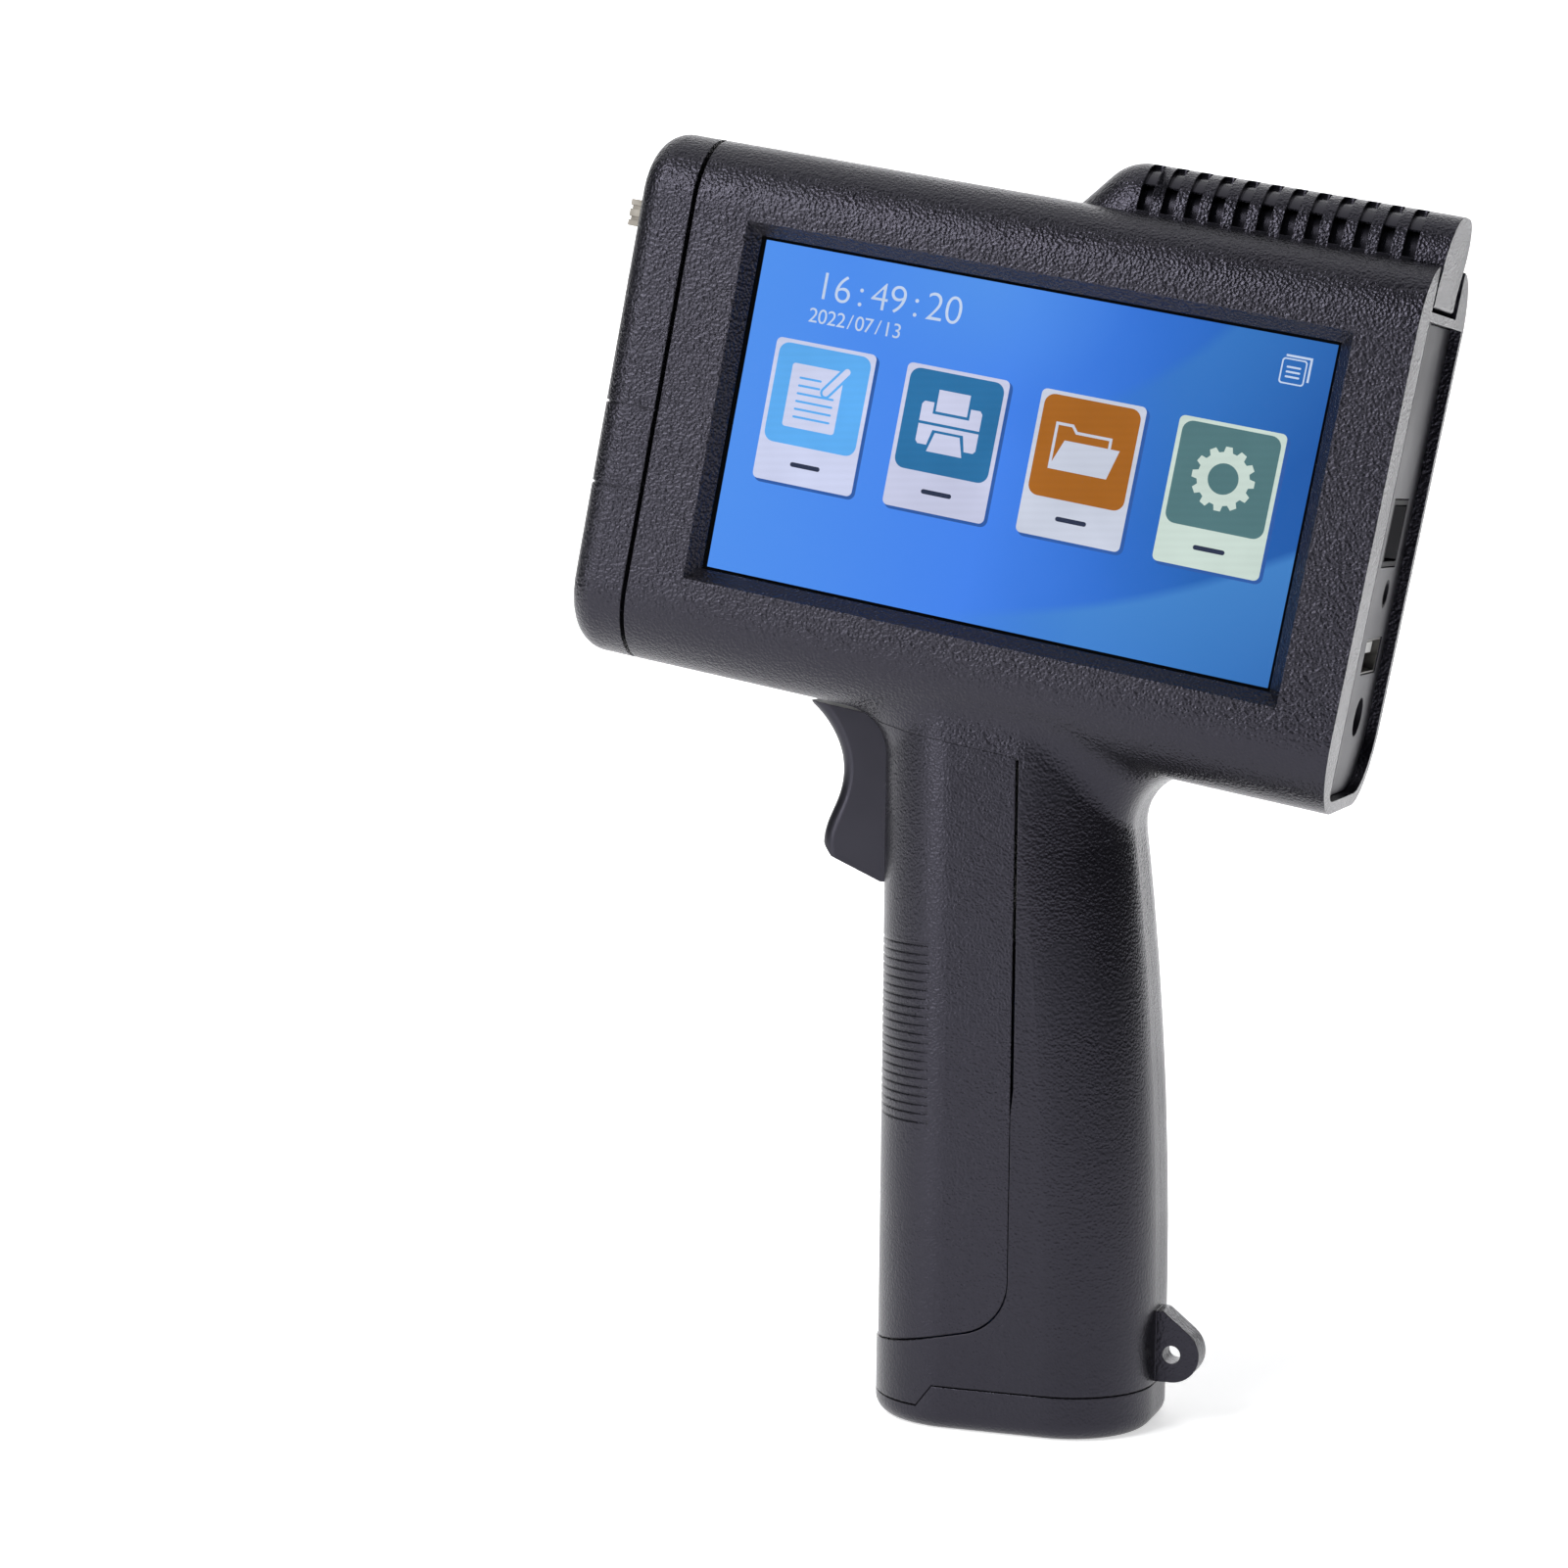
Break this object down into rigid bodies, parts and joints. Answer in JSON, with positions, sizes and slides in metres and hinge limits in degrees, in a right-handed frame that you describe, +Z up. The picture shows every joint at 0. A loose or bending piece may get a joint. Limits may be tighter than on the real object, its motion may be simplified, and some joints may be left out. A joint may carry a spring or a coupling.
{
  "type": "handheld inkjet date coder",
  "caption": "Hand-held inkjet printer with a pistol grip, trigger, tilted head with a touch screen, hinged cartridge lid, measuring wheel and rear sockets.",
  "frame": {"origin": "centre of the flat underside of the grip", "axes": "+Z up along the grip, +X toward the rear end with the sockets, -Y toward the side with the screen"},
  "size_m": [0.1451, 0.043, 0.2114],
  "materials": {
    "casing": "fine leather-like grain, satin",
    "grip_casing": "fine leather-like grain, satin",
    "nose_plastic": "fine leather-like grain, satin",
    "lid_plastic": "fine leather-like grain, satin",
    "trigger_plastic": "smooth satin",
    "panel_plastic": "smooth matte",
    "switch_plastic": "polished",
    "cartridge_plastic": "moulded matte",
    "cradle_plastic": "moulded matte",
    "socket_plastic": "moulded matte",
    "white_plastic": "moulded",
    "wheel_rubber": "warm grey rubber",
    "screen_glass": "polished cover glass",
    "display": "colour display",
    "label_paper": "plain printed label",
    "gold_contacts": "gold-plated",
    "circuit_board": "solder mask",
    "chip_black": "moulded epoxy",
    "steel": "bright steel",
    "zinc_screws": "zinc-plated",
    "nickel": "nickel-plated",
    "nozzle_metal": "gold-plated nickel",
    "sleeve_film": "shrink film",
    "cell_wrap": "cell wrap"
  },
  "bodies": {
    "housing": {"front_shell": "casing", "rear_shell": "casing", "shell_screws": "zinc_screws", "grip_cover": "grip_casing", "base_cap": "grip_casing", "lid_hinge_pin": "steel", "touch_glass": "screen_glass", "lcd_panel": "display", "cartridge_cradle": "cradle_plastic", "contact_board": "circuit_board", "contact_pins": "gold_contacts", "main_board": "circuit_board", "board_components": "chip_black", "board_screws": "zinc_screws", "port_panel": "panel_plastic", "port_board": "circuit_board", "switch_body": "switch_plastic", "sensor_jack": "socket_plastic", "usb_socket": "nickel", "usb_tongue": "white_plastic", "power_jack": "socket_plastic", "power_jack_pin": "nickel", "trigger_pin": "steel", "trigger_bracket": "cradle_plastic", "trigger_switch": "chip_black", "battery_cells": "cell_wrap", "battery_sleeve": "sleeve_film", "battery_link": "nickel", "battery_contacts": "nickel", "battery_board": "circuit_board"},
    "nose": {"nose_cap": "nose_plastic", "wheel_pin": "steel"},
    "wheel": {"measuring_wheel": "wheel_rubber"},
    "lid": {"cartridge_lid": "lid_plastic"},
    "cartridge": {"cartridge_body": "cartridge_plastic", "cartridge_cap": "cartridge_plastic", "cartridge_label": "label_paper", "nozzle_plate": "nozzle_metal", "contact_flex": "gold_contacts"},
    "rocker": {"power_rocker": "switch_plastic"},
    "trigger_blade": {"trigger": "trigger_plastic", "trigger_spring": "steel"},
    "plunger": {"switch_plunger": "white_plastic"}
  },
  "joints": [
    {"name": "nose_cap_pull", "type": "slide", "parent": "housing", "child": "nose", "axis": [-0.9833, 0, 0.1822], "range_m": [0, 0.012]},
    {"name": "wheel_spin", "type": "hinge", "parent": "nose", "child": "wheel", "pos_m": [-0.06136, -0.012, 0.19744], "axis": [0.1822, 0, 0.9833], "continuous": true},
    {"name": "lid_hinge", "type": "hinge", "parent": "housing", "child": "lid", "pos_m": [0.06482, 0, 0.18352], "axis": [0, 1, 0], "range_deg": [0, 90]},
    {"name": "cartridge_draw", "type": "slide", "parent": "housing", "child": "cartridge", "axis": [0.9833, 0, -0.1822], "range_m": [0, 0.012]},
    {"name": "power_switch", "type": "hinge", "parent": "housing", "child": "rocker", "pos_m": [0.05411, 0.0069, 0.14767], "axis": [0.1822, 0, 0.9833], "range_deg": [0, 14]},
    {"name": "trigger_pull", "type": "hinge", "parent": "housing", "child": "trigger_blade", "pos_m": [-0.017, 0, 0.1125], "axis": [0, -1, 0], "range_deg": [0, 6], "stiffness_Nm_per_rad": 0.6, "springref_deg": -5.73},
    {"name": "plunger_travel", "type": "slide", "parent": "housing", "child": "plunger", "axis": [1, 0, 0], "range_m": [0, 0.0018]}
  ],
  "couplings": [
    {"joint": "plunger_travel", "follows": "trigger_pull", "m_per_rad": 0.01718}
  ]
}
